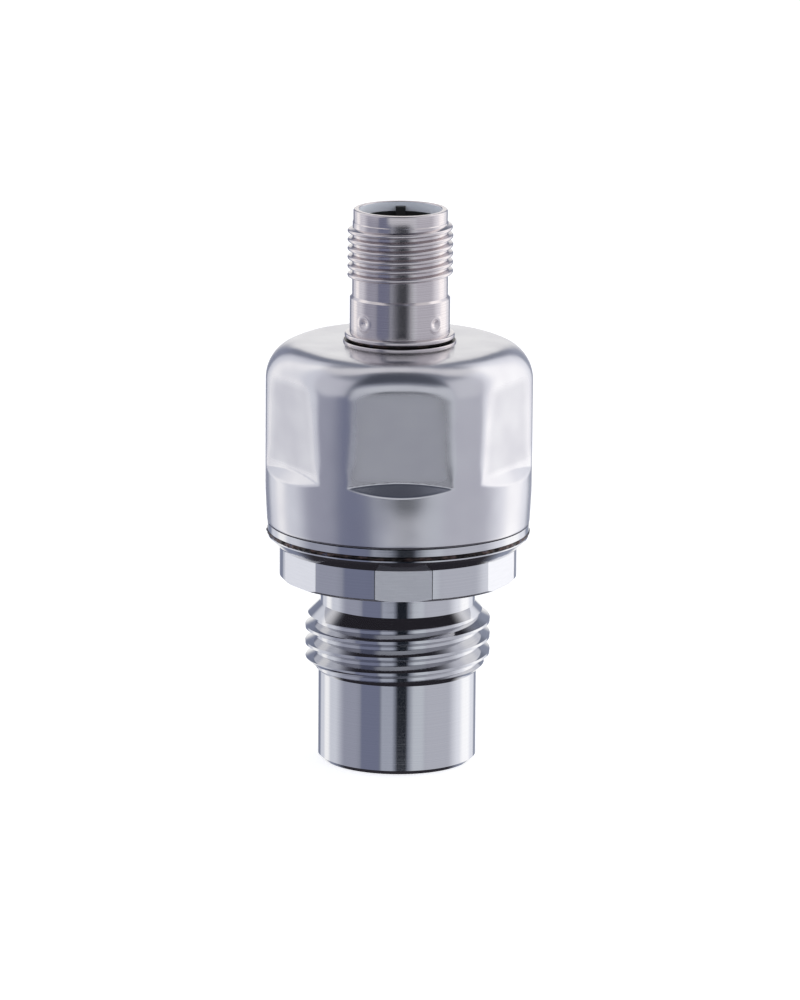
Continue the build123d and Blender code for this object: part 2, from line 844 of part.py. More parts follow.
# Output chip, held off the board by its bent leads
chip_width, chip_length, chip_top = output_chip_size
lead_reach, lead_width, lead_thickness = output_chip_lead
chip_across = output_chip_inset - board_side
lead_rise = (output_chip_standoff + chip_top) / 2
with BuildPart(board_front) as output_chip:
    with Locations((chip_across, output_chip_up, output_chip_standoff)):
        Box(
            chip_width,
            chip_length,
            chip_top - output_chip_standoff,
            align=(Align.CENTER, Align.CENTER, Align.MIN),
        )
    for side, away in ((-1, Align.MAX), (1, Align.MIN)):
        for lead in range(output_chip_lead_count):
            lead_up = output_chip_up + (lead - (output_chip_lead_count - 1) / 2) * output_chip_lead_pitch
            with Locations((chip_across + side * chip_width / 2, lead_up)):
                Box(lead_reach, lead_width, lead_thickness, align=(away, Align.CENTER, Align.MIN))
                Box(lead_thickness, lead_width, lead_rise, align=(away, Align.CENTER, Align.MIN))
output_chip.part.label = "output_chip"
export_step(output_chip.part, "parts/output_chip.step")
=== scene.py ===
# %% [markdown]
# # A flush pressure transmitter in stainless steel
# The solids of this instrument come from a CAD model, in metres and in their final place. This lesson
# dresses them. Most of the look of such an object is in three things: the fine marks that each machine left
# in the steel, the small forms that are too fine for the CAD model, and the studio that the metal mirrors.

# %% Load the model
import math

import bmesh
import bpy
from mathutils import Matrix, Vector, noise


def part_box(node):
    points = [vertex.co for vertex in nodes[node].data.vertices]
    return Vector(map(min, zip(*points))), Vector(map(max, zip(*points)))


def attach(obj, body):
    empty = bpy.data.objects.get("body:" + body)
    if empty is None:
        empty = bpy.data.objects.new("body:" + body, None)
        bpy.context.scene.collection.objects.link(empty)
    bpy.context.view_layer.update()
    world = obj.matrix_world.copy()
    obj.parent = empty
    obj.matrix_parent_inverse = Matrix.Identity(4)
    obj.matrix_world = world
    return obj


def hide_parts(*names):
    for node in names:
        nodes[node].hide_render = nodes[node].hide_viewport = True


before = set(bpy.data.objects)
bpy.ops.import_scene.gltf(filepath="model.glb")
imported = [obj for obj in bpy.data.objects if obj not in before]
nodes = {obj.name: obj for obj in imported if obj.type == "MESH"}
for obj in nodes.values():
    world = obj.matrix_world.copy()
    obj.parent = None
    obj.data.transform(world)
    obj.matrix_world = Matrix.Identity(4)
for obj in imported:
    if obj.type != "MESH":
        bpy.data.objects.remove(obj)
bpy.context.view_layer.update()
MM = 0.001
print("CAD pieces:", len(nodes))

# %% [markdown]
# Two helpers carry all the materials. Colours are picked on a screen, so they are sRGB, while a socket
# takes linear light. And a node with its settings and its links is one call, which keeps a material
# readable. The others start a material and end it: most of them run between two close tones and have a
# little relief.

# %% Colours and nodes
def linear(colour):
    """The linear values of an sRGB hex colour such as "c8c4cc", by the curve of the sRGB standard."""
    shares = [int(colour[start:start + 2], 16) / 255 for start in (0, 2, 4)]
    curve = [share / 12.92 if share <= 0.04045 else ((share + 0.055) / 1.055) ** 2.4 for share in shares]
    return curve + [1.0]


def add(tree, kind, settings=None, links=None):
    """Adds one node, sets its properties and sockets, and links its inputs to the outputs that are given."""
    node = tree.nodes.new("ShaderNode" + kind)
    for key, value in (settings or {}).items():
        if isinstance(key, str) and key in node.bl_rna.properties:
            setattr(node, key, value)
        else:
            node.inputs[key].default_value = value
    for key, source in (links or {}).items():
        tree.links.new(source, node.inputs[key])
    return node


def start_material(name, settings):
    """A material with one Principled shader, and the object coordinates that its patterns are drawn in."""
    material = bpy.data.materials.new(name)
    material.use_nodes = True
    tree = material.node_tree
    tree.nodes.clear()
    shader = add(tree, "BsdfPrincipled", settings)
    add(tree, "OutputMaterial", links={"Surface": shader.outputs[0]})
    place = add(tree, "TexCoord").outputs["Object"]
    return material, tree, shader, place


def drive(tree, shader, sources):
    """Links sockets of a shader, by name, to the outputs that drive them."""
    for key, source in sources.items():
        tree.links.new(source, shader.inputs[key])


def tone_and_relief(tree, shader, light, dark, tone, relief, depth):
    """Colours a shader between two tones by one pattern, and raises one pattern by a depth in millimetres."""
    tint = add(tree, "Mix", {"data_type": "RGBA", 6: linear(light), 7: linear(dark)}, {0: tone})
    bump = add(tree, "Bump", {"Strength": 1.0, "Distance": depth * MM}, {"Height": relief})
    drive(tree, shader, {"Base Color": tint.outputs[2], "Normal": bump.outputs[0]})


print("white in linear light:", linear("ffffff"))

# %% [markdown]
# The camera stands where the photographer's stood: 0.72 m away, about 13 degrees above the instrument, with
# a long lens. The instrument leans half a degree in the picture, which is the camera's roll.

# %% Camera
CAMERA_DISTANCE = 716.6 * MM
CAMERA_ELEVATION = math.radians(12.9)
CAMERA_ROLL = math.radians(0.436)
CAMERA_TARGET = Vector((0.174, 0.0, 29.696)) * MM
LENS = 229.01
SENSOR = 36.0

camera_data = bpy.data.cameras.new("camera")
camera_data.lens = LENS
camera_data.sensor_width = SENSOR
camera = bpy.data.objects.new("camera", camera_data)
bpy.context.scene.collection.objects.link(camera)
aim = Matrix.Rotation(math.pi / 2 - CAMERA_ELEVATION, 4, "X") @ Matrix.Rotation(CAMERA_ROLL, 4, "Z")
camera.matrix_world = Matrix.Translation(CAMERA_TARGET) @ aim @ Matrix.Translation((0, 0, CAMERA_DISTANCE))
bpy.context.scene.camera = camera
print("camera at", [round(value, 3) for value in camera.matrix_world.translation])

# %% [markdown]
# A new piece is a bmesh that becomes an object once. Its faces are shaded smooth, and its edges sharper
# than 35 degrees stay sharp, as on a turned part, where every cylinder is smooth and every corner is crisp.
# A piece with softer or finer forms gives an angle of its own.

# %% From a bmesh to a piece
def finish_piece(name, form, material, sharp=35):
    """Makes the object of a finished bmesh, which rides on the instrument's one body."""
    mesh = bpy.data.meshes.new(name)
    form.to_mesh(mesh)
    form.free()
    mesh.shade_smooth()
    mesh.set_sharp_from_angle(angle=math.radians(sharp))
    mesh.materials.append(material)
    piece = bpy.data.objects.new(name, mesh)
    bpy.context.scene.collection.objects.link(piece)
    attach(piece, "root")
    print(name, "has", len(mesh.polygons), "faces")
    return piece


# %% [markdown]
# The process connection, the base ring and the plug sleeve are turned from stainless bar. A lathe tool
# leaves a fine spiral, which reads as rings: round a cylinder they stack along the axis, and on a face that
# looks up or down they run round the centre. So the pattern is a one-dimensional noise along the height,
# and along the radius where the surface faces up or down. The real marks are about 0.05 mm apart, finer
# than a pixel of this picture, so they are drawn at 0.1 mm. The plug sleeve is turned in the same way, with
# a slightly softer and warmer mirror.

# %% Turned stainless steel
TOOL_MARK = 0.1 * MM
LYING = 0.7  # a face lies across the axis where its normal points further up or down than this


def height_and_radius(tree, place):
    """The height of a point, and its distance from the axis."""
    split = add(tree, "SeparateXYZ", links={0: place})
    level = add(tree, "CombineXYZ", links={0: split.outputs[0], 1: split.outputs[1]})
    radius = add(tree, "VectorMath", {"operation": "LENGTH"}, {0: level.outputs[0]})
    return split.outputs[2], radius.outputs["Value"]


def tool_marks(tree, height, radius):
    """The marks of a lathe tool, along its path: the height, plus the radius on faces across the axis."""
    facing = add(tree, "SeparateXYZ", links={0: add(tree, "TexCoord").outputs["Normal"]})
    upright = add(tree, "Math", {"operation": "ABSOLUTE"}, {0: facing.outputs[2]})
    across = add(tree, "Math", {"operation": "GREATER_THAN", 1: LYING}, {0: upright.outputs[0]})
    reach = add(tree, "Math", {"operation": "MULTIPLY"}, {0: radius, 1: across.outputs[0]})
    path = add(tree, "Math", {"operation": "ADD"}, {0: height, 1: reach.outputs[0]})
    turns = add(tree, "Math", {"operation": "MULTIPLY", 1: 1 / TOOL_MARK}, {0: path.outputs[0]})
    rings = {"noise_dimensions": "1D", "Scale": 1.0, "Detail": 3.0}
    return add(tree, "TexNoise", rings, {"W": turns.outputs[0]}).outputs[0]


def turned_steel(name, light, dark, roughness, mark_height):
    """Stainless steel as it comes off a lathe: a clear mirror along the rings, and a soft one across them."""
    material, tree, shader, place = start_material(name, {"Metallic": 1.0, "Roughness": roughness})
    marks = tool_marks(tree, *height_and_radius(tree, place))
    tone_and_relief(tree, shader, light, dark, marks, marks, mark_height)
    return material


steel = turned_steel("turned_stainless_steel", "d8d8da", "c8c8cc", 0.1, 0.001)
sleeve_steel = turned_steel("fine_turned_stainless_steel", "e2dcdc", "c0b8ba", 0.14, 0.0012)
print("materials:", steel.name, sleeve_steel.name)

# %% [markdown]
# The hexagon of the process connection is milled after the turning. A side mill leaves straight lines along
# each flat and a softer, paler surface, because the lines throw the light up and down. The flats lie a
# little closer to the axis than the turned corners between them, so the height and the radius of a point
# tell the two apart, and one material can carry both finishes. The lines are as far apart as a mill's teeth
# leave them.

# %% Milled flats on turned steel
HEXAGON_LOW = 21.05 * MM
HEXAGON_HIGH = 24.65 * MM
HEXAGON_CORNER = 13.38 * MM
MILL_MARK = 0.12 * MM
MILL_STROKE = 3.0 * MM
MILL_DEPTH = 0.012 * MM
MILL_ROUGHNESS = 0.36
MILL_TONES = ("e6e6e9", "dadade")


def milled_steel(name, light, dark, roughness, mark_height):
    """Turned stainless steel whose hexagon has milled flats with lines along them."""
    material, tree, shader, place = start_material(name, {"Metallic": 1.0})
    height, radius = height_and_radius(tree, place)
    marks = tool_marks(tree, height, radius)
    stroke = (1 / MILL_STROKE, 1 / MILL_STROKE, 1 / MILL_MARK)
    stretch = add(tree, "Mapping", {"Scale": stroke}, {"Vector": place})
    strokes = add(tree, "TexNoise", {"Scale": 1.0, "Detail": 2.0}, {"Vector": stretch.outputs[0]})
    above = add(tree, "Math", {"operation": "GREATER_THAN", 1: HEXAGON_LOW}, {0: height})
    below = add(tree, "Math", {"operation": "LESS_THAN", 1: HEXAGON_HIGH}, {0: height})
    near = add(tree, "Math", {"operation": "LESS_THAN", 1: HEXAGON_CORNER}, {0: radius})
    band = add(tree, "Math", {"operation": "MULTIPLY"}, {0: above.outputs[0], 1: below.outputs[0]})
    flat = add(tree, "Math", {"operation": "MULTIPLY"}, {0: band.outputs[0], 1: near.outputs[0]}).outputs[0]
    relief = add(tree, "Mix", links={0: flat, 2: marks, 3: strokes.outputs[0]}).outputs[0]
    depth = add(tree, "MapRange", {"To Min": mark_height * MM, "To Max": MILL_DEPTH}, {"Value": flat})
    raised = add(tree, "Math", {"operation": "MULTIPLY"}, {0: relief, 1: depth.outputs[0]})
    bump = add(tree, "Bump", {"Strength": 1.0, "Distance": 1.0}, {"Height": raised.outputs[0]})
    gloss = add(tree, "MapRange", {"To Min": roughness, "To Max": MILL_ROUGHNESS}, {"Value": flat})
    turned, milled = [
        add(tree, "Mix", {"data_type": "RGBA", 6: linear(pale), 7: linear(deep)}, {0: relief}).outputs[2]
        for pale, deep in ((light, dark), MILL_TONES)
    ]
    tint = add(tree, "Mix", {"data_type": "RGBA"}, {0: flat, 6: turned, 7: milled})
    drive(tree, shader, {
        "Base Color": tint.outputs[2], "Roughness": gloss.outputs[0], "Normal": bump.outputs[0],
    })
    return material


connection_steel = milled_steel("turned_and_milled_stainless_steel", "d8d8da", "c8c8cc", 0.07, 0.0008)
print("material:", connection_steel.name)

# %% [markdown]
# The can is a deep-drawn cup that was pressed into six facets and then finished satin. Its grain has no
# direction and is finer than a pixel of this picture, so it is drawn at 0.25 mm. The satin is a rougher
# mirror, and the pressing leaves the sheet very slightly wavy, so that a straight light looks a little soft
# and bent in it. The facets were pushed against the die, and they are duller than the round walls. So the
# roughness rises where a point lies inside the round wall's radius, between the ledge and the shoulder, and
# it rises over a few tenths of a millimetre, because the sheet met the die gradually.

# %% Satin stainless sheet
SATIN_GRAIN = 0.25 * MM
SATIN_RELIEF = 0.0012 * MM
PRESS_WAVE = 3.5 * MM
PRESS_RELIEF = 0.03 * MM
WAVE_RANGE = {"From Min": 0.3, "From Max": 0.7}  # the values that such a noise mostly has
SATIN_ROUGHNESS = {"To Min": 0.2, "To Max": 0.25}
DIE_ROUGHNESS = 0.18  # what the die adds
DIE_FOOT = (34.8 * MM, 35.4 * MM)
DIE_TOP = (45.0 * MM, 44.0 * MM)
DIE_RADII = (14.9 * MM, 14.4 * MM)


def satin_steel():
    """Pressed stainless sheet with a satin finish: soft reflections with no direction."""
    material, tree, shader, place = start_material("satin_stainless_sheet", {"Metallic": 1.0})
    height, radius = height_and_radius(tree, place)
    grain = add(tree, "TexNoise", {"Scale": 1 / SATIN_GRAIN, "Detail": 2.0}, {"Vector": place})
    wave = add(tree, "TexNoise", {"Scale": 1 / PRESS_WAVE, "Detail": 1.0}, {"Vector": place}).outputs[0]
    satin = add(tree, "Bump", {"Strength": 1.0, "Distance": SATIN_RELIEF}, {"Height": grain.outputs[0]})
    press = {"Strength": 1.0, "Distance": PRESS_RELIEF}
    bump = add(tree, "Bump", press, {"Height": wave, "Normal": satin.outputs[0]})
    sheet = add(tree, "MapRange", WAVE_RANGE | SATIN_ROUGHNESS, {"Value": wave})
    above, below, pressed = [
        add(tree, "MapRange", {"From Min": start, "From Max": full}, {"Value": source}).outputs[0]
        for (start, full), source in ((DIE_FOOT, height), (DIE_TOP, height), (DIE_RADII, radius))
    ]
    band = add(tree, "Math", {"operation": "MULTIPLY"}, {0: above, 1: below})
    facet = add(tree, "Math", {"operation": "MULTIPLY"}, {0: band.outputs[0], 1: pressed})
    dulled = {"operation": "MULTIPLY_ADD", 1: DIE_ROUGHNESS}
    gloss = add(tree, "Math", dulled, {0: facet.outputs[0], 2: sheet.outputs[0]})
    tint = add(tree, "Mix", {"data_type": "RGBA", 6: linear("d9d8da"), 7: linear("cdcbd0")}, {0: wave})
    drive(tree, shader, {
        "Base Color": tint.outputs[2], "Roughness": gloss.outputs[0], "Normal": bump.outputs[0],
    })
    return material


satin = satin_steel()
print("material:", satin.name)

# %% [markdown]
# ## Round pieces from a half section
# A lathe makes a sleeve by running a tool along its half section, and a press draws a can over a round die.
# Both shapes are a half section that turns. bmesh has the same idea: a few corners are drawn at the right
# of the axis, the round corners are bevelled, and the section is spun.

# %% A spun half section
TOUCH = 0.001  # points closer than this, in millimetres, count as one place
MERGE = 0.0001 * MM


def draw_section(corners):
    """A closed half section in the XZ plane, from corners of radius and height in millimetres."""
    form = bmesh.new()
    ring = [form.verts.new((radius * MM, 0, height * MM)) for radius, height in corners]
    form.faces.new(ring)
    return form


def round_corner(form, radius, height, size, segments=4):
    """Rounds the one corner of a section that is nearest to a radius and height."""
    place = Vector((radius, 0, height)) * MM
    corner = min(form.verts, key=lambda vert: (vert.co - place).length)
    bmesh.ops.bevel(
        form, geom=[corner], offset=size * MM, offset_type="OFFSET", segments=segments, profile=0.5,
        affect="VERTICES", material=-1,
    )


def divide_run(form, radius, low, high, cuts):
    """Cuts one upright run of a section into short ones, so that the spun form can be shaped there."""
    run = [
        edge for edge in form.edges
        if all(
            abs(vert.co.x - radius * MM) < TOUCH * MM and (low - TOUCH) * MM < vert.co.z < (high + TOUCH) * MM
            for vert in edge.verts
        )
    ]
    bmesh.ops.subdivide_edges(form, edges=run, cuts=cuts)


def spin_round(form, steps):
    """Spins a section once round the axis, and closes the seam."""
    section = form.faces[:]
    bmesh.ops.spin(
        form, geom=form.edges[:], cent=(0, 0, 0), axis=(0, 0, 1), dvec=(0, 0, 0), angle=math.tau, steps=steps,
        use_merge=True,
    )
    bmesh.ops.delete(form, geom=section, context="FACES_ONLY")
    bmesh.ops.remove_doubles(form, verts=form.verts[:], dist=MERGE)
    bmesh.ops.recalc_face_normals(form, faces=form.faces[:])


def move_to_radius(vert, radius):
    """Moves a vertex straight in or out to a distance from the axis, in millimetres."""
    change = radius / (vert.co.xy.length / MM)
    vert.co.x *= change
    vert.co.y *= change


# %% [markdown]
# ## The can
# The can is one sheet of stainless steel, first drawn to a cup with a hole in its top for the plug. The cup
# is a half section that is spun. Its upright runs are cut into short ones first, finest at the ledge,
# because the next step bends them.

# %% The cup
SHEET = 0.6
CAN_RADIUS = 15.0
INNER_RADIUS = CAN_RADIUS - SHEET
CAN_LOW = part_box("housing_can")[0][2] / MM
CAN_TOP = 48.0
CAN_HOLE = 5.2
CAN_LIP = 0.35
SHOULDER = 4.2
SHOULDER_LOW = CAN_TOP - SHOULDER
WALL_FOOT = 29.4
LEDGE_LOW = 33.1
LEDGE_HIGH = 35.2
CUP_STEPS = 360
can = draw_section([
    (INNER_RADIUS, CAN_LOW), (CAN_RADIUS, CAN_LOW), (CAN_RADIUS, WALL_FOOT), (CAN_RADIUS, LEDGE_LOW),
    (CAN_RADIUS, LEDGE_HIGH), (CAN_RADIUS, CAN_TOP), (CAN_HOLE, CAN_TOP), (CAN_HOLE, CAN_TOP - SHEET),
    (INNER_RADIUS, CAN_TOP - SHEET),
])
round_corner(can, CAN_RADIUS, CAN_LOW, CAN_LIP, 5)
round_corner(can, CAN_RADIUS, CAN_TOP, SHOULDER, 36)
round_corner(can, INNER_RADIUS, CAN_TOP - SHEET, SHOULDER - SHEET, 10)
for radius, low, high, cuts in (
    (CAN_RADIUS, CAN_LOW + CAN_LIP, WALL_FOOT, 5),
    (CAN_RADIUS, WALL_FOOT, LEDGE_LOW, 9),
    (CAN_RADIUS, LEDGE_LOW, LEDGE_HIGH, 17),
    (CAN_RADIUS, LEDGE_HIGH, SHOULDER_LOW, 26),
    (INNER_RADIUS, CAN_LOW, SHOULDER_LOW, 28),
):
    divide_run(can, radius, low, high, cuts)
spin_round(can, CUP_STEPS)
print("cup:", len(can.verts), "vertices")

# %% [markdown]
# Water pressure then pushes the wall into a hexagonal die from above a ledge, which leaves six facets with
# soft edges. They could be cut with six blocks and bevelled, but a bevel there gives hard, even edges. So
# each vertex moves in to the nearest facet plane. Where the round wall and the plane cross, a smooth
# minimum of the two rounds the edge: tightly at the ledge, softly along the sides, and very softly at the
# shoulder, as the die does. The planes lean a little and bend over into the top, the ledge sinks away from
# the middle of each facet, and the wall under it draws in towards its foot.

# %% The facets
FACETS = 6
FACET_TURN = math.radians(-89.0)
FACET_DISTANCE = 13.8
FACET_LEAN = math.tan(math.radians(1.6))
FACET_BEND = 44.9
LEDGE_CREASE = 34.68
LEDGE_BOW = 0.55
LEDGE_BOW_ANGLE = math.radians(22)
LEDGE_SLOPE = 0.9
LEDGE_BLEND = 0.14
SOFTER = ((0.24, 35.0, 1.5), (0.25, 41.0, 4.0))  # what the blend gains, from a height, over a run
WALL_LEAN = math.tan(math.radians(3.0))
LEAN_FROM = 32.5
LEAN_RUN = 2.5
FLAT_TOP = 11.0  # inside this radius the cup keeps its flat top


def held(value, low, high):
    """A value that is kept between two others."""
    return min(high, max(low, value))


def smooth_lesser(first, second, blend):
    """The lesser of two lengths, with a rounded corner where they cross."""
    share = held(0.5 + 0.5 * (second - first) / blend, 0.0, 1.0)
    return second + (first - second) * share - blend * share * (1 - share)


def inner_skin(radius, height):
    """The sheet's thickness where a point is on the inner skin of the cup, and 0 on the outer one."""
    if height < SHOULDER_LOW:
        return SHEET if radius < INNER_RADIUS + TOUCH else 0.0
    across = math.hypot(radius - (CAN_RADIUS - SHOULDER), height - SHOULDER_LOW)
    return SHEET if across < SHOULDER - SHEET / 2 else 0.0


def press_facets(radius, height, side):
    """The radius that a point of the cup is pressed to, all in millimetres and radians."""
    inner = inner_skin(radius, height)
    pitch = math.tau / FACETS
    off = (side - FACET_TURN + pitch / 2) % pitch - pitch / 2
    rise = height - LEDGE_CREASE + LEDGE_BOW * (off / LEDGE_BOW_ANGLE) ** 2
    distance = FACET_DISTANCE - inner + (rise * FACET_LEAN if rise > 0 else -rise * LEDGE_SLOPE)
    reach = CAN_TOP - FACET_BEND - inner
    over = held(height - FACET_BEND, 0.0, reach)
    distance -= reach - math.sqrt(reach * reach - over * over)
    drop = held(LEAN_FROM - height, 0.0, LEAN_RUN)
    drop = drop * drop / (2 * LEAN_RUN) + max(0.0, LEAN_FROM - LEAN_RUN - height)
    blend = LEDGE_BLEND + sum(gain * held((height - start) / run, 0.0, 1.0) for gain, start, run in SOFTER)
    return smooth_lesser(radius - drop * WALL_LEAN, distance / math.cos(off), blend)


for vert in can.verts:
    radius = vert.co.xy.length / MM
    if radius > FLAT_TOP:
        move_to_radius(vert, press_facets(radius, vert.co.z / MM, math.atan2(vert.co.y, vert.co.x)))
bmesh.ops.recalc_face_normals(can, faces=can.faces[:])
pressed_can = finish_piece("pressed_can", can, satin, sharp=60)
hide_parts("housing_can")

# %% [markdown]
# ## The plug sleeve
# The sleeve of the M12 plug is one turned piece that stands in the can's hole. At its foot it has a rim
# that rests on the can, a narrow deep groove and a rounded bead. Above them come a plain belt, a step down
# to the neck, the root of the thread, and a lip round the mouth, which narrows like a funnel. All of it is
# one half section. The belt is cut fine, because the dimples are pushed into it next.

# %% Sleeve body
SLEEVE_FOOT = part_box("connector_sleeve")[0][2] / MM
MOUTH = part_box("connector_sleeve")[1][2] / MM
SHANK_RADIUS = 5.15
FLARE_RADIUS = 6.35
FLARE_TOP = 48.2
GROOVE_RADIUS = 5.72
GROOVE_LOW = 48.28
GROOVE_HIGH = 48.46
BEAD_RADIUS = 6.18
BEAD_LOW = 48.52
BEAD_HIGH = 49.0
SLEEVE_RADIUS = 5.63
SLEEVE_LOW = 49.08
BELT_LOW = 49.5
BELT_HIGH = 51.9
SLEEVE_STEP = 53.05
STEP_RUN = 0.25
NECK_RADIUS = 5.375
THREAD_ROOT = 5.36
THREAD_LOW = 55.2
THREAD_HIGH = 61.6
LIP_RADIUS = 5.28
LIP_LOW = 61.68
MOUTH_RADIUS = 4.66
FUNNEL_DEPTH = 1.0
THROAT_RADIUS = 4.3
THROAT_LOW = 61.98
SOCKET_RADIUS = 4.55
SOCKET_TOP = 61.9
SLEEVE_STEPS = 432
body = draw_section([
    # The shank in the can's hole, and the rim that rests on the can
    (SOCKET_RADIUS, SLEEVE_FOOT), (SHANK_RADIUS, SLEEVE_FOOT), (SHANK_RADIUS, CAN_TOP),
    (FLARE_RADIUS, CAN_TOP), (FLARE_RADIUS, FLARE_TOP),
    # The groove and the bead
    (GROOVE_RADIUS, GROOVE_LOW), (GROOVE_RADIUS, GROOVE_HIGH),
    (BEAD_RADIUS, BEAD_LOW), (BEAD_RADIUS, BEAD_HIGH),
    # The belt, the step and the neck
    (SLEEVE_RADIUS, SLEEVE_LOW), (SLEEVE_RADIUS, BELT_LOW), (SLEEVE_RADIUS, BELT_HIGH),
    (SLEEVE_RADIUS, SLEEVE_STEP), (NECK_RADIUS, SLEEVE_STEP + STEP_RUN), (NECK_RADIUS, THREAD_LOW),
    # The root of the thread, a hair inside the neck
    (THREAD_ROOT, THREAD_LOW + 0.01), (THREAD_ROOT, THREAD_HIGH),
    # The lip, the funnel, the throat and the socket
    (LIP_RADIUS, LIP_LOW), (LIP_RADIUS, MOUTH), (MOUTH_RADIUS, MOUTH),
    (THROAT_RADIUS, MOUTH - FUNNEL_DEPTH), (THROAT_RADIUS, THROAT_LOW), (SOCKET_RADIUS, SOCKET_TOP),
])
round_corner(body, FLARE_RADIUS, FLARE_TOP, 0.08)
round_corner(body, BEAD_RADIUS, BEAD_LOW, 0.16)
round_corner(body, BEAD_RADIUS, BEAD_HIGH, 0.16)
round_corner(body, LIP_RADIUS, MOUTH, 0.2)
round_corner(body, MOUTH_RADIUS, MOUTH, 0.1, 3)
divide_run(body, SLEEVE_RADIUS, BELT_LOW, BELT_HIGH, 35)
spin_round(body, SLEEVE_STEPS)
print("sleeve:", len(body.verts), "vertices")

# %% [markdown]
# Four small dimples are pressed into the belt, and they hold the plug's insert. Each leaves a low raised
# rim of pushed metal. A dimple could be cut out with a ball, but then its edge would be sharp. So the
# vertices near its middle move along their own radius, in by the depth of a bowl and out by the height of a
# soft ring.

# %% Dimples
DIMPLES = 4
DIMPLE_TURN = 45.0
DIMPLE_HEIGHT = 50.68
DIMPLE_RADIUS = 0.55
DIMPLE_DEPTH = 0.16
DIMPLE_REACH = 1.4
RIM_RADIUS = 0.8
RIM_WIDTH = 0.2
RIM_HEIGHT = 0.045
OUTER_WALL = 5.0  # vertices beyond this radius are on the outer wall
for turn in range(DIMPLES):
    side = math.radians(DIMPLE_TURN + turn * 360 / DIMPLES)
    middle = Vector((SLEEVE_RADIUS * math.cos(side), SLEEVE_RADIUS * math.sin(side), DIMPLE_HEIGHT)) * MM
    for vert in body.verts:
        away = (vert.co - middle).length / MM
        if away < DIMPLE_REACH and vert.co.xy.length > OUTER_WALL * MM:
            bowl = max(0.0, 1 - (away / DIMPLE_RADIUS) ** 2) ** 1.5
            rim = math.exp(-((away - RIM_RADIUS) / RIM_WIDTH) ** 2)
            outward = Vector((vert.co.x, vert.co.y, 0)).normalized()
            vert.co += outward * ((RIM_HEIGHT * rim - DIMPLE_DEPTH * bowl) * MM)
sleeve = finish_piece("plug_sleeve", body, sleeve_steel, sharp=40)
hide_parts("connector_sleeve")

# %% [markdown]
# The socket inside the sleeve is blasted with glass beads, which makes its bore dull. Its near-white colour
# and low metallic value are painted light, which stands for the bright reflection in the bore. The craters
# are finer than a pixel of this picture, so they are drawn at 0.12 mm. The material goes to the faces
# inside a radius.

# %% Blasted bore
PALE_PAINTED_BORE_RADIUS = 4.62
BLASTED_ROUGHNESS = {"To Min": 0.65, "To Max": 0.8}
CRATER = 0.12 * MM
CRATER_DEPTH = 0.006


def blasted_and_painted_pale_steel():
    """Bead-blasted steel: craters that spread light evenly, with painted near-white brightness, no mirror."""
    material, tree, shader, place = start_material("bead_blasted_stainless_painted_pale", {"Metallic": 0.3})
    craters = add(tree, "TexNoise", {"Scale": 1 / CRATER, "Detail": 3.0}, {"Vector": place}).outputs[0]
    gloss = add(tree, "MapRange", BLASTED_ROUGHNESS, {"Value": craters})
    drive(tree, shader, {"Roughness": gloss.outputs[0]})
    # The near-white tones and the low metallic value are painted brightness for the bore's reflection
    tone_and_relief(tree, shader, "f8fafe", "eaeef4", craters, craters, CRATER_DEPTH)
    return material


def dress_faces(piece, material, radii, heights):
    """Gives one more material to the faces whose middle lies between two radii and two heights."""
    piece.data.materials.append(material)
    dressed = 0
    for face in piece.data.polygons:
        radius, height = face.center.xy.length / MM, face.center.z / MM
        if radii[0] < radius < radii[1] and heights[0] < height < heights[1]:
            face.material_index = len(piece.data.materials) - 1
            dressed += 1
    print(material.name, "on", dressed, "faces of", piece.name)


dress_faces(sleeve, blasted_and_painted_pale_steel(), (0.0, PALE_PAINTED_BORE_RADIUS), (SLEEVE_FOOT, MOUTH))

# %% [markdown]
# The fine thread is a ridge of 1 mm pitch. The cross-section of the ridge is spun like the body, but each
# step also lifts it a little, which makes a screw. At both ends a real thread runs out because the tool
# backs off, so the ridge sinks into the sleeve over half a turn.

# %% Fine thread
PITCH = 1.0
CREST = 5.92
CREST_HALF = 0.17
CREST_ROUND = 0.15
RIDGE_FOOT = THREAD_ROOT - 0.06
THREAD_START = 55.07
THREAD_TURNS = 6.4
TURN_STEPS = 96
RUN_OUT = 0.5
# The radii of the ridge's corners, from its hidden foot to its crest, and half its width there
RIDGE = [(RIDGE_FOOT, 0.4), (THREAD_ROOT + 0.03, 0.36), (CREST, CREST_HALF)]
ridge = draw_section(
    [(radius, THREAD_START - half) for radius, half in RIDGE]
    + [(radius, THREAD_START + half) for radius, half in reversed(RIDGE)]
)
for half in (-CREST_HALF, CREST_HALF):
    round_corner(ridge, CREST, THREAD_START + half, CREST_ROUND)
bmesh.ops.spin(
    ridge, geom=ridge.faces[:] + ridge.edges[:] + ridge.verts[:], cent=(0, 0, 0), axis=(0, 0, 1),
    dvec=(0, 0, PITCH * MM / TURN_STEPS), angle=math.tau * THREAD_TURNS,
    steps=round(THREAD_TURNS * TURN_STEPS),
)
for vert in ridge.verts:
    turn = math.atan2(vert.co.y, vert.co.x) / math.tau
    turn += round((vert.co.z / MM - THREAD_START) / PITCH - turn)
    fade = min(1.0, max(0.0, turn / RUN_OUT), max(0.0, (THREAD_TURNS - turn) / RUN_OUT))
    fade = fade * fade * (3 - 2 * fade)
    move_to_radius(vert, RIDGE_FOOT + (vert.co.xy.length / MM - RIDGE_FOOT) * fade)
bmesh.ops.recalc_face_normals(ridge, faces=ridge.faces[:])
finish_piece("plug_thread", ridge, sleeve_steel, sharp=40)

# %% [markdown]
# ## The weld
# The can's base ring is laser-welded to the process connection. The bead sits in a small groove, uneven and
# dark. It starts as a thin ring from a spun circle, and noise then moves its vertices in and out, and lets
# the seam wander up and down.

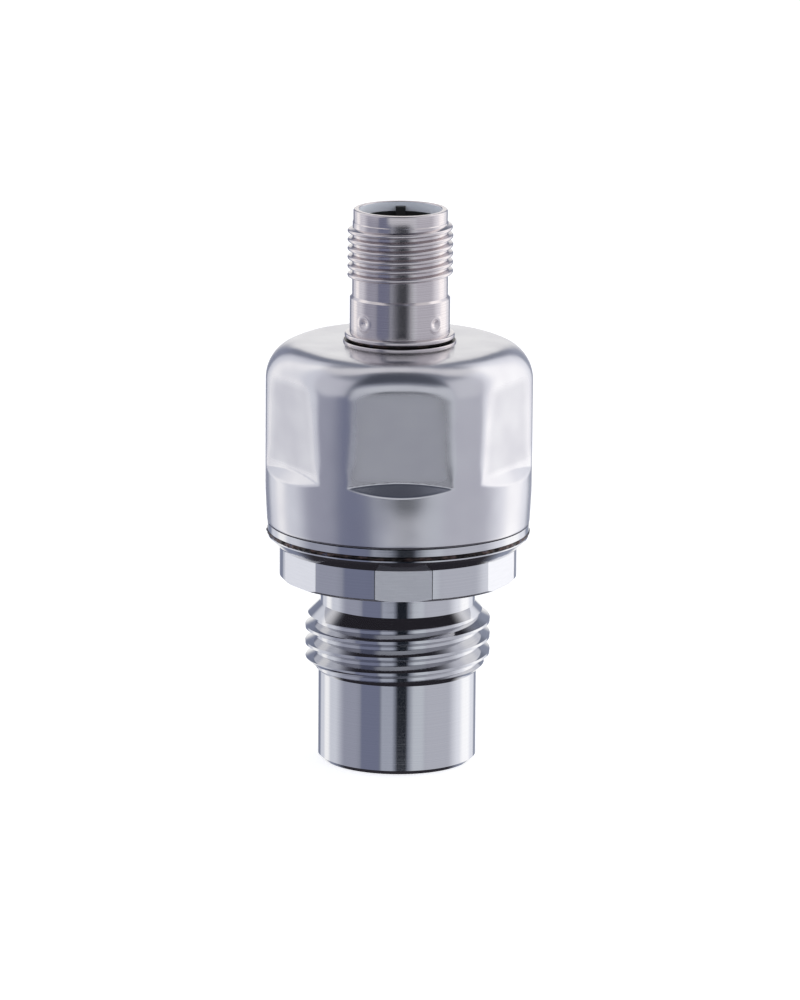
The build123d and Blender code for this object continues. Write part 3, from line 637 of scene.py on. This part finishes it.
# %% Weld bead
WELD_HEIGHT = 26.3
WELD_RADIUS = 14.62
WELD_BEAD = 0.2
WELD_STEPS = 720
SWELL = ((0.12, 1.3), (0.05, 5.0))  # how far the bead swells in millimetres, and its waves per millimetre
WANDER = (0.08, 0.35)
bead = bmesh.new()
stand = Matrix.Translation(Vector((WELD_RADIUS, 0, WELD_HEIGHT)) * MM) @ Matrix.Rotation(math.pi / 2, 4, "X")
bmesh.ops.create_circle(bead, segments=10, radius=WELD_BEAD * MM, matrix=stand)
spin_round(bead, WELD_STEPS)
for vert in bead.verts:
    spot = vert.co / MM
    vert.co += vert.normal * (sum(size * noise.noise(spot * waves) for size, waves in SWELL) * MM)
    vert.co.z += WANDER[0] * MM * noise.noise(Vector((spot.x, spot.y, 0)) * WANDER[1])
print("bead:", len(bead.verts), "vertices")

# %% [markdown]
# A laser leaves oxide on steel, in tints that follow the heat: nearly black in the seam, and brown, blue
# and straw in patches. A colour ramp over a noise holds them in that order. The faces of the groove at the
# foot of the plug sleeve get the same dark material as painted shade in the groove.

# %% Heat tints
HEAT_TINTS = ((0.3, "1c1a1e"), (0.48, "34302f"), (0.6, "5a4a46"), (0.68, "4a5064"), (0.75, "8a7a74"))
TINT_PATCH = 1.5 * MM
OXIDE_RELIEF = 0.04 * MM
# Where the sleeve's groove is painted dark as shade
GROOVE_SHADE_RADII = (5.6, 6.14)
GROOVE_SHADE_HEIGHTS = (48.22, 48.51)


def weld_tint_and_groove_shade():
    """Scorched steel: dark oxide with straw, brown and blue tints along the seam, and painted shade in a
    groove.
    """
    material, tree, shader, place = start_material("heat_tinted_weld_and_groove_shade", {"Metallic": 1.0, "Roughness": 0.35})
    patch = add(tree, "TexNoise", {"Scale": 1 / TINT_PATCH, "Detail": 4.0}, {"Vector": place}).outputs[0]
    ramp = add(tree, "ValToRGB", links={0: patch})
    stops = ramp.color_ramp.elements
    stops.remove(stops[1])
    stops[0].position = HEAT_TINTS[0][0]
    stops[0].color = linear(HEAT_TINTS[0][1])
    for position, colour in HEAT_TINTS[1:]:
        stops.new(position).color = linear(colour)
    bump = add(tree, "Bump", {"Strength": 1.0, "Distance": OXIDE_RELIEF}, {"Height": patch})
    drive(tree, shader, {"Base Color": ramp.outputs[0], "Normal": bump.outputs[0]})
    return material


weld_oxide_and_groove_shade = weld_tint_and_groove_shade()
finish_piece("weld_bead", bead, weld_oxide_and_groove_shade)
# The sleeve's groove gets the weld's dark tones as painted shade
dress_faces(sleeve, weld_oxide_and_groove_shade, GROOVE_SHADE_RADII, GROOVE_SHADE_HEIGHTS)

# %% [markdown]
# ## Materials of the pieces inside
# The solids inside are hidden in the picture, but they are there when the instrument is opened or cut, so
# each gets what it is really made of. Moulded and fired pieces share one recipe: two close tones in soft
# patches, as the material flowed or shrank, and a fine skin.

# %% Moulded and fired skins
def skin(name, light, dark, patch, grain, relief, settings):
    """A dense material in two close tones, with a patch size, a grain size and a relief in millimetres."""
    material, tree, shader, place = start_material(name, settings)
    flow = add(tree, "TexNoise", {"Scale": 1 / (patch * MM), "Detail": 2.0}, {"Vector": place})
    fine = add(tree, "TexNoise", {"Scale": 1 / (grain * MM), "Detail": 3.0}, {"Vector": place})
    tone_and_relief(tree, shader, light, dark, flow.outputs[0], fine.outputs[0], relief)
    return material


inside = {
    # Glass-filled polyamide, moulded: black, with a faint grey bloom of fibres near the skin
    "black_plastic": skin(
        "moulded_black_polyamide", "1b1b1d", "2a2a2d", 1.5, 0.08, 0.004, {"Roughness": 0.5}
    ),
    # PBT, moulded: a warm off-white that is nearly smooth
    "holder_plastic": skin("moulded_white_pbt", "dad6c9", "cbc6b8", 3.0, 0.1, 0.002, {"Roughness": 0.42}),
    # Fluorocarbon rubber, moulded: black with the dull bloom of release agent
    "rubber": skin("moulded_black_rubber", "1c1c1c", "303030", 0.8, 0.05, 0.004, {"Roughness": 0.7}),
    # Epoxy moulding compound round a chip: a dark grey, sandy skin
    "component": skin("moulded_black_epoxy", "2c2c2e", "3a3a3c", 0.6, 0.05, 0.004, {"Roughness": 0.6}),
    # Multilayer ceramic capacitors, fired: a tan body
    "capacitor": skin("fired_tan_ceramic", "b59a76", "a0845f", 0.5, 0.04, 0.002, {"Roughness": 0.4}),
    # Alumina, fired and ground: a warm white with a fine tooth
    "ceramic": skin("ground_white_alumina", "efeee8", "e0ded4", 1.2, 0.06, 0.003, {"Roughness": 0.55}),
    # Sealing glass, fused: grey-green, smooth, with faint streaks
    "seal_glass": skin(
        "fused_sealing_glass", "5f6c68", "4b5854", 0.6, 0.3, 0.001, {"Roughness": 0.12, "IOR": 1.5}
    ),
    # Silicon, polished: a dark blue-grey mirror
    "silicon": skin(
        "polished_silicon", "5a5c6a", "4e5060", 0.4, 0.1, 0.0002, {"Roughness": 0.08, "Metallic": 0.6}
    ),
    # Hard gold over nickel: a warm mirror, a little soft where it was plated thick
    "gold_plated": skin(
        "plated_hard_gold", "f0c878", "e2b45e", 0.7, 0.05, 0.0008, {"Roughness": 0.2, "Metallic": 1.0}
    ),
    # Cold-rolled spring strip: a grey, oily mirror
    "spring_steel": skin(
        "rolled_spring_steel", "c4c2be", "b0aeaa", 1.0, 0.06, 0.001, {"Roughness": 0.28, "Metallic": 1.0}
    ),
}
print("skins:", ", ".join(material.name for material in inside.values()))

# %% [markdown]
# The membrane is a foil only 0.05 mm thick. It is pressed in rings that let it move, and it is brighter
# than the turned steel round it, with the faintest orange peel. The circuit boards have copper tracks under
# green lacquer, and the amber ribbon has a row of conductors. Both are one pattern: parallel lines that
# stop at the edges of irregular cells, as tracks do where they turn away.

# %% Membrane foil, circuit board and ribbon
PEEL = 0.8 * MM
PEEL_RELIEF = 0.003
TRACK_RELIEF = 0.02
CELL_SCALE = 0.18  # cells per track
CELL_EDGE = 0.35   # how far from a cell's middle its tracks begin


def membrane_foil():
    """Bright rolled foil: a clear mirror with a faint orange peel."""
    material, tree, shader, place = start_material("bright_rolled_foil", {"Metallic": 1.0, "Roughness": 0.14})
    peel = add(tree, "TexNoise", {"Scale": 1 / PEEL, "Detail": 2.0}, {"Vector": place}).outputs[0]
    tone_and_relief(tree, shader, "e2e2e4", "d6d6da", peel, peel, PEEL_RELIEF)
    return material


def tracked(name, base, track, pitch, share, turn, settings):
    """A sheet with parallel conductors under a clear coat: their pitch in millimetres and share of it."""
    material, tree, shader, place = start_material(name, settings)
    lay = add(tree, "Mapping", {"Rotation": turn, "Scale": (1 / (pitch * MM),) * 3}, {"Vector": place})
    split = add(tree, "SeparateXYZ", links={0: lay.outputs[0]})
    phase = add(tree, "Math", {"operation": "FRACT"}, {0: split.outputs[0]})
    line = add(tree, "Math", {"operation": "LESS_THAN", 1: share}, {0: phase.outputs[0]})
    cells = add(tree, "TexVoronoi", {"Scale": CELL_SCALE}, {"Vector": lay.outputs[0]})
    routed = add(tree, "Math", {"operation": "GREATER_THAN", 1: CELL_EDGE}, {0: cells.outputs["Distance"]})
    shown = add(tree, "Math", {"operation": "MULTIPLY"}, {0: line.outputs[0], 1: routed.outputs[0]})
    tracks = shown.outputs[0]
    tone_and_relief(tree, shader, base, track, tracks, tracks, TRACK_RELIEF)
    return material


inside["membrane_steel"] = membrane_foil()
inside["circuit_board"] = tracked(
    "green_lacquered_fr4", "1d5a35", "2c7a4a", 0.5, 0.45, (0, 0, 0.6), {"Roughness": 0.3, "Coat Weight": 0.5}
)
inside["ribbon_film"] = tracked(
    "amber_polyimide_film", "b0691c", "cf8a34", 0.5, 0.5, (0, 0, 0), {"Roughness": 0.25, "Coat Weight": 0.3}
)
print("sheets:", inside["membrane_steel"].name, inside["circuit_board"].name, inside["ribbon_film"].name)

# %% [markdown]
# Each solid of the CAD model is right as it stands, so it only changes its material. The can and the sleeve
# are in the list too, although finer pieces stand for them.

# %% Dressing of the solids
WEARS = (
    (connection_steel, "process_connection"),
    (steel, "base_ring connector_sleeve sensor_header backing_ring fill_ball"),
    (satin, "housing_can"),
    (inside["membrane_steel"], "diaphragm"),
    (inside["spring_steel"], "ground_spring"),
    (inside["gold_plated"], "header_pins contact_pin_1 contact_pin_2 contact_pin_3 contact_pin_4"),
    (inside["black_plastic"], "contact_carrier"),
    (inside["holder_plastic"], "board_holder"),
    (inside["rubber"], "housing_o_ring carrier_o_ring"),
    (inside["circuit_board"], "sensor_board main_board connector_board"),
    (inside["component"], "conditioner_chip output_chip regulator_chip surge_diodes board_resistors"),
    (inside["capacitor"], "sensor_capacitors board_capacitors"),
    (inside["ribbon_film"], "sensor_ribbon"),
    (inside["ceramic"], "filler_disc"),
    (inside["seal_glass"], "glass_seals chip_pedestal"),
    (inside["silicon"], "sensor_chip"),
)
coats = {name: material for material, names in WEARS for name in names.split()}
for name, node in nodes.items():
    node.data.materials.clear()
    node.data.materials.append(coats[name])
print("dressed solids:", len(nodes))

# %% [markdown]
# ## The studio
# Polished metal shows mostly what stands around it. So the studio is drawn in the world, in soft patches of
# light, one over the other. A patch lies between two compass angles, counted from the camera towards the
# right, and between two heights, counted from the horizon. The camera looks down on the instrument, so its
# upright walls mirror what lies 9 to 19 degrees below the horizon.

# %% Directions of the studio
scene = bpy.context.scene
world = bpy.data.worlds.new("studio")
scene.world = world
world.use_nodes = True
sky = world.node_tree
sky.nodes.clear()
toward = add(sky, "SeparateXYZ", links={0: add(sky, "TexCoord").outputs["Generated"]})
front = add(sky, "Math", {"operation": "MULTIPLY", 1: -1.0}, {0: toward.outputs[1]})
compass = add(sky, "Math", {"operation": "ARCTAN2"}, {0: toward.outputs[0], 1: front.outputs[0]}).outputs[0]
height = add(sky, "Math", {"operation": "ARCSINE"}, {0: toward.outputs[2]}).outputs[0]


def soft_edged(off, half, edge):
    """1 where an offset is less than half a width either way and 0 outside, with an edge round the limit."""
    away = add(sky, "Math", {"operation": "ABSOLUTE"}, {0: off})
    fall = {"interpolation_type": "SMOOTHSTEP", "From Min": half + edge, "From Max": half - edge}
    return add(sky, "MapRange", fall, {"Value": away.outputs[0]}).outputs[0]


def span(value, low, high, soft):
    """1 between two angles in degrees and 0 outside them, over an edge that is soft degrees wide."""
    middle, half = math.radians((low + high) / 2), math.radians((high - low) / 2)
    off = add(sky, "Math", {"operation": "SUBTRACT", 1: middle}, {0: value})
    turn = add(sky, "Math", {"operation": "WRAP", 1: math.pi, 2: -math.pi}, {0: off.outputs[0]})
    return soft_edged(turn.outputs[0], half, math.radians(soft) / 2)


def patch(sides, heights):
    """1 in a patch of the studio, given by its compass angles and its heights, each with its softness."""
    both = {0: span(compass, *sides), 1: span(height, *heights)}
    return add(sky, "Math", {"operation": "MULTIPLY"}, both).outputs[0]


def card(light, colour, strength, mask):
    """Lays one card over the light that is there."""
    shade = [channel * strength for channel in linear(colour)[:3]] + [1.0]
    return add(sky, "Mix", {"data_type": "RGBA", 7: shade}, {0: mask, 6: light}).outputs[2]


print("directions of the studio:", compass.node.operation, height.node.operation)

# %% [markdown]
# The cards make the stripes in the steel. Pale walls stand left and right of the camera, then a tall
# softbox on each side with a bright tube in it, and then grey flags that edge the white screen behind. In
# front there is the dark gap that the camera looks through. The tip mirrors it as a narrow black line and
# the sleeve as a wide one, because each mirrors another height of it, and a bright card over it and one
# under it end the line. A dark table below shades what looks down.

# %% Studio cards
# Colour, strength, compass angles from and to with their softness, heights from and to with theirs
CARDS = [
    ("acafbf", 1.00, (-100, -53, 24), (-90, 40, 14)),      # left side of the front wall
    ("d8dae4", 1.00, (-104, -46, 16), (0, 50, 16)),        # its upper half, nearer to the softbox
    ("81869e", 1.00, (-54, -25, 5), (-90, 4, 10)),         # its dark blue panel
    ("b8bdcb", 1.00, (-23, -5, 5), (-90, 30, 12)),         # left of the camera
    ("dadfe7", 1.00, (20, 44, 12), (-90, 30, 12)),         # right of the camera
    ("ced0da", 1.00, (40, 95, 12), (-90, 40, 14)),         # right side of the front wall
    ("dfe1e9", 1.00, (46, 104, 16), (0, 50, 16)),          # its upper half
    ("4c505c", 1.00, (-34, 34, 24), (33, 90, 14)),         # dark above the camera
    ("e6e9f2", 1.08, (-152, -92, 22), (-90, 54, 10)),      # left softbox
    ("ffffff", 1.28, (-132, -117, 9), (-90, 54, 10)),      # its bright tube
    ("f6f8ff", 1.16, (90, 153, 22), (-90, 54, 10)),        # right softbox
    ("ffffff", 1.45, (108, 133, 14), (-90, 54, 10)),       # its bright tube
    ("9ca2b3", 1.00, (152, 170, 6), (-90, 60, 10)),        # right flag
    ("8c92a6", 1.00, (-170, -150, 6), (-90, 60, 10)),      # left flag
    ("848a98", 1.00, (153, 169, 6), (24, 60, 8)),          # the right flag's darker top
    ("7e8494", 1.00, (-169, -151, 6), (24, 60, 8)),        # the left flag's darker top
    ("dadee5", 1.00, (-30, 32, 14), (-6.5, 22, 4)),        # bright card over the camera's gap
    ("e4e7ee", 1.00, (-12, 26, 12), (-24, -16.7, 1.2)),    # bright card under it
    ("1a1e28", 1.00, (-18, 25, 30), (-13.2, -7.5, 1.2)),   # the gap's wide part
    ("1a1f28", 1.00, (-1, 14.5, 5), (-16.3, -8, 1.2)),     # its narrow foot
    ("36343a", 1.00, (-181, 181, 1), (-90, -40, 14)),      # dark table
]
room = add(sky, "RGB").outputs[0]
room.default_value = linear("898e9c")
light = room
for colour, strength, sides, heights in CARDS:
    light = card(light, colour, strength, patch(sides, heights))
print("cards:", len(CARDS))

# %% [markdown]
# The softbox overhead is a rectangle on a ceiling, so its edges are straight lines there. A direction meets
# the ceiling where its sideways part is divided by its upward part.

# %% Overhead softbox
CEILING_ACROSS = (-0.75, 0.75, 0.15)
CEILING_ALONG = (-0.1, 0.34, 0.03)
LEVEL = 0.02  # flatter directions never meet the ceiling
up = add(sky, "Math", {"operation": "MAXIMUM", 1: LEVEL}, {0: toward.outputs[2]})


def on_ceiling(axis, low, high, soft):
    """1 where a direction meets a ceiling 1 m up between two places along an axis, and 0 elsewhere."""
    reach = add(sky, "Math", {"operation": "DIVIDE"}, {0: toward.outputs[axis], 1: up.outputs[0]})
    off = add(sky, "Math", {"operation": "SUBTRACT", 1: (low + high) / 2}, {0: reach.outputs[0]})
    return soft_edged(off.outputs[0], (high - low) / 2, soft)


both = {0: on_ceiling(0, *CEILING_ACROSS), 1: on_ceiling(1, *CEILING_ALONG)}
overhead = add(sky, "Math", {"operation": "MULTIPLY"}, both)
light = card(light, "ececf0", 1.0, overhead.outputs[0])
print("overhead softbox:", CEILING_ACROSS[:2], "by", CEILING_ALONG[:2])

# %% [markdown]
# Behind the instrument stands a white screen. The camera sees white all round, and so does whatever mirrors
# or looks through to the place of that screen, which is Light Path's camera, glossy and transmission rays.

# %% White screen
SCREEN_SIDES = (168, 192, 7)
SCREEN_HEIGHTS = (-28, 62, 20)
rays = add(sky, "LightPath").outputs
glossy = {0: rays["Is Glossy Ray"], 1: rays["Is Transmission Ray"]}
mirrored = add(sky, "Math", {"operation": "MAXIMUM"}, glossy)
behind = {0: mirrored.outputs[0], 1: patch(SCREEN_SIDES, SCREEN_HEIGHTS)}
screen = add(sky, "Math", {"operation": "MULTIPLY"}, behind)
seen = add(sky, "Math", {"operation": "MAXIMUM"}, {0: rays["Is Camera Ray"], 1: screen.outputs[0]})
light = card(light, "ffffff", 1.0, seen.outputs[0])
glow = add(sky, "Background", {"Strength": 1.0}, {"Color": light})
add(sky, "OutputWorld", links={"Surface": glow.outputs[0]})
scene.view_settings.view_transform = "Standard"
print("world nodes:", len(sky.nodes))

# %% [markdown]
# The instrument stands on white paper. The paper glows a little, which keeps it white, and takes a soft
# shadow round the tip. Mirrors don't see it, because in the picture the steel shows the cards down to its
# foot.

# %% Floor
FLOOR_REACH = 3.0
PAPER_GLOW = 0.65
form = bmesh.new()
bmesh.ops.create_grid(form, x_segments=1, y_segments=1, size=FLOOR_REACH)
floor_mesh = bpy.data.meshes.new("floor")
form.to_mesh(floor_mesh)
form.free()
floor = bpy.data.objects.new("floor", floor_mesh)
scene.collection.objects.link(floor)
paper = start_material("white_paper", {
    "Base Color": linear("f4f4f4"), "Roughness": 0.9,
    "Emission Color": linear("ffffff"), "Emission Strength": PAPER_GLOW,
})[0]
floor.data.materials.append(paper)
floor.visible_glossy = False
print("floor of", paper.name)
